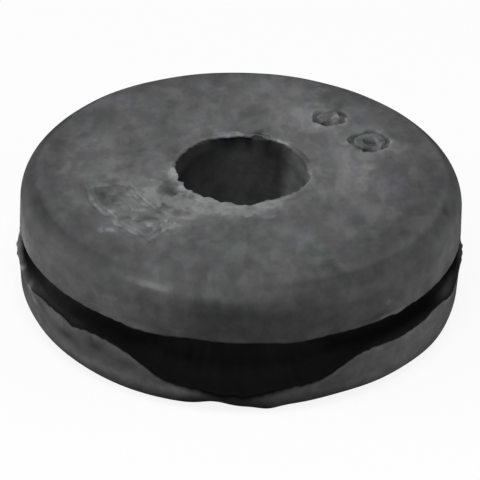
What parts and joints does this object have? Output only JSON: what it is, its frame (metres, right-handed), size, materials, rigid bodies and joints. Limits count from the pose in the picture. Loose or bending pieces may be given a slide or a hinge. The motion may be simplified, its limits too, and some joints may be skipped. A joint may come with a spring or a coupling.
{
  "type": "pedal washer",
  "caption": "Round rubber grommet with rounded flanges, a groove between them for the edge of a sheet-metal bracket, and a plain bore for the pedal bolt. The lower rim is worn.",
  "frame": {"origin": "on the bore axis, in the bottom face of the lower flange", "axes": "+Z along the bore axis, up through the marked upper face; -Y towards the worn side of the lower rim; +X to the right, seen from -Y"},
  "size_m": [0.0302, 0.0301, 0.0096],
  "materials": {
    "rubber": "matt moulded rubber, dusty grey bloom over black, worn"
  },
  "bodies": {
    "root": {"pedal_washer": "rubber"}
  },
  "joints": []
}
